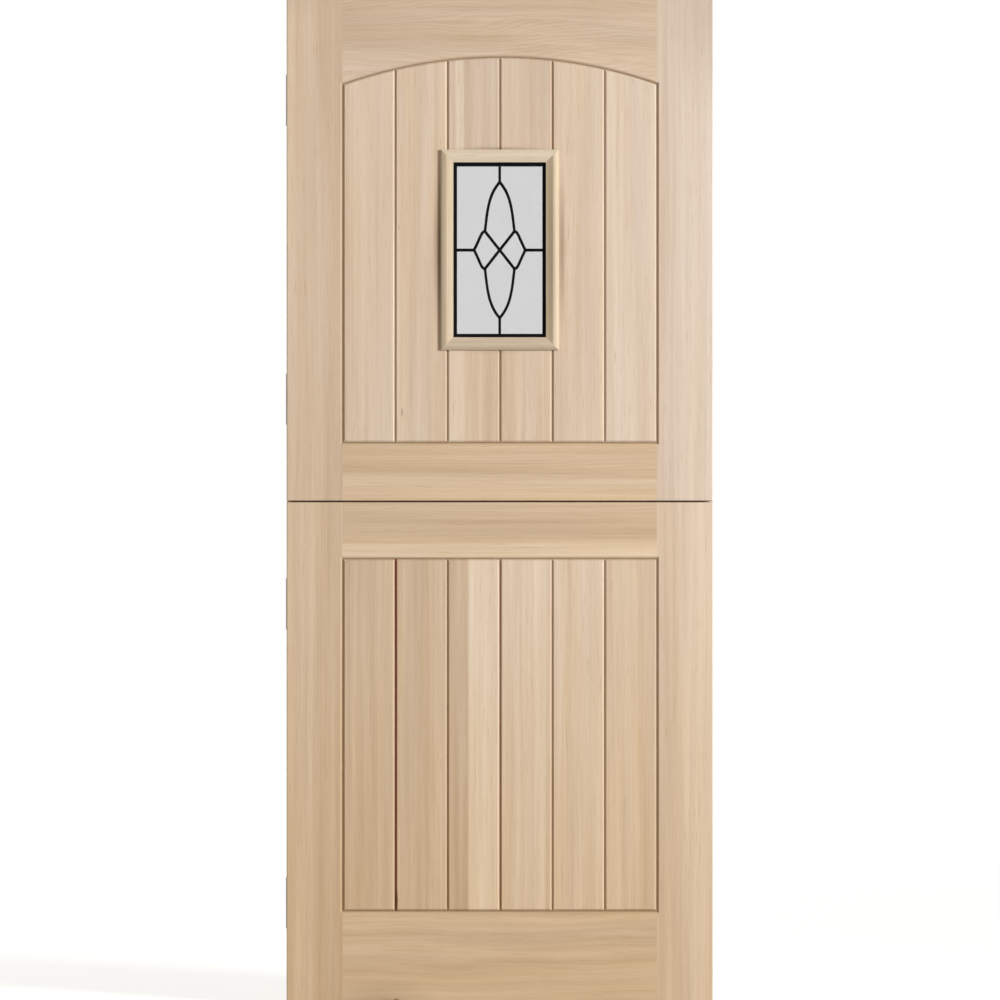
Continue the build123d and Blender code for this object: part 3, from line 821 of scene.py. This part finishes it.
# One screw, with its axis along Z and its head's face at zero
head_height = calculate(screw_tree, "SUBTRACT", screw_size["Head Radius"], screw_size["Shank Radius"])
shank_length = calculate(screw_tree, "SUBTRACT", screw_size["Length"], screw_size["Point Length"])
shank_length = calculate(screw_tree, "SUBTRACT", shank_length, head_height)
point_start = calculate(screw_tree, "ADD", head_height, shank_length)
head = round_piece(screw_size["Head Radius"], screw_size["Shank Radius"], head_height, 0)
shank = round_piece(screw_size["Shank Radius"], screw_size["Shank Radius"], shank_length, head_height)
point = round_piece(screw_size["Shank Radius"], tip_radius, screw_size["Point Length"], point_start)

# The cross recess is cut by two bars that stand half out of the head
recess_length = calculate(screw_tree, "MULTIPLY", screw_size["Head Radius"], recess_length_share)
recess_width = calculate(screw_tree, "MULTIPLY", screw_size["Head Radius"], recess_width_share)
recess_depth = calculate(screw_tree, "MULTIPLY", head_height, recess_depth_share)
for x, y in ((recess_length, recess_width), (recess_width, recess_length)):
    bar_size = vector(screw_tree, X=x, Y=y, Z=recess_depth)
    bar = add_node(screw_tree, "GeometryNodeMeshCube", {"Size": bar_size}).outputs["Mesh"]
    cut = {"Mesh 1": head, "Mesh 2": bar}
    recessed = add_node(screw_tree, "GeometryNodeMeshBoolean", cut, operation="DIFFERENCE", solver="EXACT")
    head = recessed.outputs["Mesh"]
screw = moved(screw_tree, join(screw_tree, head, shank, point), rotation=(0, pi / 2, 0))

# A zigzag row at each of the leaf's two hinges
rows = []
for row in ("Lower Row", "Upper Row"):
    line = {
        "Count": screw_size["Screw Count"],
        "Start Location": screw_size[row],
        "Offset": screw_size["Pitch"],
    }
    rows.append(add_node(screw_tree, "GeometryNodeMeshLine", line, mode="OFFSET").outputs["Mesh"])
index = add_node(screw_tree, "GeometryNodeInputIndex").outputs[0]
odd = calculate(screw_tree, "MODULO", index, 2)
aside = vector(screw_tree, Y=calculate(screw_tree, "MULTIPLY", odd, screw_size["Zigzag"]))
spaced = {"Geometry": join(screw_tree, *rows), "Offset": aside}
points = add_node(screw_tree, "GeometryNodeSetPosition", spaced).outputs[0]
placed = {"Points": points, "Instance": screw}
driven = add_node(screw_tree, "GeometryNodeInstanceOnPoints", placed).outputs[0]
end_tree(screw_tree, screw_size, driven)

zinc = mottled(
    "Zinc plate",
    colour=(0.58, 0.57, 0.54),
    deep_colour=(0.42, 0.41, 0.38),
    roughness=0.32,
    metallic=1,
    grain=(700, 700, 700),
    strength=0.1,
)
for leaf in ("lower", "upper"):
    screws = grow(f"{leaf}_leaf_screws", screw_tree, screw_sizes(leaf), zinc)
    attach(screws, f"{leaf}_leaf")
    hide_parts(f"{leaf}_hinge_screws")

# Studio: the door stands on a white floor against white. A soft lamp stands to the right in front of it and
# another opposite, behind it to the left, so that every side is lit, with a dim, slightly warm light all
# round. The camera looks square at the outer face.

bpy.context.scene.view_settings.view_transform = "Standard"

pixel_size = 0.0019662
photo_pixels = 1000
camera_distance = 12
view_middle_x = 0.0006
view_middle_z = 0.9934
camera = bpy.data.cameras.new("camera")
camera.lens = camera.sensor_width * camera_distance / (pixel_size * photo_pixels)
camera.clip_end = 60
viewer = bpy.data.objects.new("camera", camera)
viewer.location = (view_middle_x, outer_face - camera_distance, view_middle_z)
viewer.rotation_euler = (pi / 2, 0, 0)
bpy.context.scene.collection.objects.link(viewer)
bpy.context.scene.camera = viewer

lamp_width = 2.6
lamp_height = 3
lamp_colour = (0.97, 1, 1.02)
lamp_distance = 13
lamp_level = 3.5
lamp_angle = radians(50)
lamp_target = Vector((0, 0, 1))
for name, side, energy in (("key", 1, 1920), ("fill", -1, 1850)):
    soft_box = bpy.data.lights.new(name, "AREA")
    soft_box.shape = "RECTANGLE"
    soft_box.size = lamp_width
    soft_box.size_y = lamp_height
    soft_box.energy = energy
    soft_box.color = lamp_colour
    lamp = bpy.data.objects.new(name, soft_box)
    lamp_x = side * lamp_distance * sin(lamp_angle)
    lamp_y = -side * lamp_distance * cos(lamp_angle)
    lamp.location = (lamp_x, lamp_y, lamp_level)
    lamp.rotation_euler = (lamp_target - lamp.location).to_track_quat("-Z", "Y").to_euler()
    bpy.context.scene.collection.objects.link(lamp)


def seen_directly(tree):
    """1 for the camera's own rays and for those mirrored or passed on by metal and glass, 0 for others."""
    sight = add_node(tree, "ShaderNodeLightPath").outputs
    seen = calculate(tree, "MAXIMUM", sight["Is Camera Ray"], sight["Is Glossy Ray"])
    return calculate(tree, "MAXIMUM", seen, sight["Is Transmission Ray"])


room_colour = (1, 0.9, 0.74)
room_strength = 0.32
world = bpy.data.worlds.new("studio")
bpy.context.scene.world = world
world.use_nodes = True
tree = world.node_tree
tree.nodes.clear()
room = add_node(tree, "ShaderNodeBackground", {"Color": room_colour, "Strength": room_strength}).outputs[0]
white = add_node(tree, "ShaderNodeBackground", {"Color": (1, 1, 1), "Strength": 1}).outputs[0]
choice = add_node(tree, "ShaderNodeMixShader", {0: seen_directly(tree), 1: room, 2: white}).outputs[0]
add_node(tree, "ShaderNodeOutputWorld", {"Surface": choice})

# Round the door the floor takes its shadow, and farther off it turns into the white background
floor_reach = 30
shadow_ends = 5
shadow_full = 1.5
shadow_strength = 0.5
lit_floor = 0.78
unseen_floor = 0.55
floor_mesh = bpy.data.meshes.new("floor")
corners = [(x * floor_reach, y * floor_reach, 0) for x, y in ((-1, -1), (1, -1), (1, 1), (-1, 1))]
floor_mesh.from_pydata(corners, [], [(0, 1, 2, 3)])
floor = bpy.data.objects.new("floor", floor_mesh)
bpy.context.scene.collection.objects.link(floor)
paper = bpy.data.materials.new("White floor")
paper.use_nodes = True
tree = paper.node_tree
tree.nodes.clear()
seen = seen_directly(tree)
floor_place = add_node(tree, "ShaderNodeTexCoord").outputs["Object"]
near = ease(tree, length_of(tree, floor_place), shadow_ends, shadow_full)
shadow_share = calculate(tree, "MULTIPLY", near, shadow_strength)
glow = calculate(tree, "MULTIPLY_ADD", shadow_share, -lit_floor, 1)
glow = calculate(tree, "MULTIPLY", seen, glow)
unseen_colour = calculate(tree, "MULTIPLY", calculate(tree, "SUBTRACT", 1, seen), unseen_floor)
grey = calculate(tree, "MULTIPLY_ADD", seen, shadow_share, unseen_colour)
matt = add_node(tree, "ShaderNodeBsdfDiffuse", {"Color": grey}).outputs[0]
bright = add_node(tree, "ShaderNodeEmission", {"Strength": glow}).outputs[0]
both = add_node(tree, "ShaderNodeAddShader", {0: matt, 1: bright}).outputs[0]
add_node(tree, "ShaderNodeOutputMaterial", {"Surface": both})
floor_mesh.materials.append(paper)
